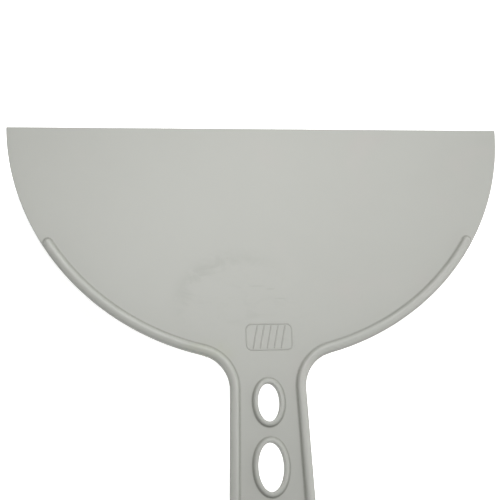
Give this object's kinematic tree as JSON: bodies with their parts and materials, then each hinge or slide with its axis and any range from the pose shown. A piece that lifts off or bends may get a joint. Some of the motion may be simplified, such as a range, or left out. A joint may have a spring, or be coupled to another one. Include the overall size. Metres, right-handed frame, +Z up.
{
  "type": "flexible putty knife",
  "caption": "Half-moon flexible putty knife moulded in one piece: thin straight-edged blade, rounded ribs along its curved back and a handle with oval holes.",
  "frame": {"origin": "centre of the bounding box in plan, on the surface that the knife lies on", "axes": "+X across the blade, +Y from the handle to the working edge, +Z up out of the face that carries the moulded mark"},
  "size_m": [0.2, 0.222, 0.005],
  "materials": {
    "moulded_plastic": "fine satin grain of the mould, faint cloudy marks",
    "handled_plastic": "the same plastic, a little smoother on the crests from the hand",
    "worn_edge": "the same plastic, rubbed smooth with fine scratches across the edge"
  },
  "bodies": {
    "handle": {"handle_web": "moulded_plastic", "handle_rib_left": "handled_plastic", "handle_rib_right": "handled_plastic", "butt_rib": "handled_plastic", "grip_hole_rim_1": "handled_plastic", "grip_hole_rim_2": "handled_plastic", "grip_hole_rim_3": "handled_plastic", "hanging_hole_rim": "handled_plastic"},
    "blade": {"blade_web": "moulded_plastic", "blade_rib_left": "handled_plastic", "blade_rib_right": "handled_plastic", "moulded_mark": "moulded_plastic"},
    "lip": {"lip_web": "moulded_plastic", "working_edge": "worn_edge"}
  },
  "joints": [
    {"name": "shoulder_flex", "type": "hinge", "parent": "handle", "child": "blade", "pos_m": [0, 0.013, 0.0025], "axis": [1, 0, 0], "range_deg": [-15, 15], "stiffness_Nm_per_rad": 3},
    {"name": "lip_flex", "type": "hinge", "parent": "blade", "child": "lip", "pos_m": [0, 0.075, 0.0025], "axis": [1, 0, 0], "range_deg": [-30, 30], "stiffness_Nm_per_rad": 0.9}
  ]
}
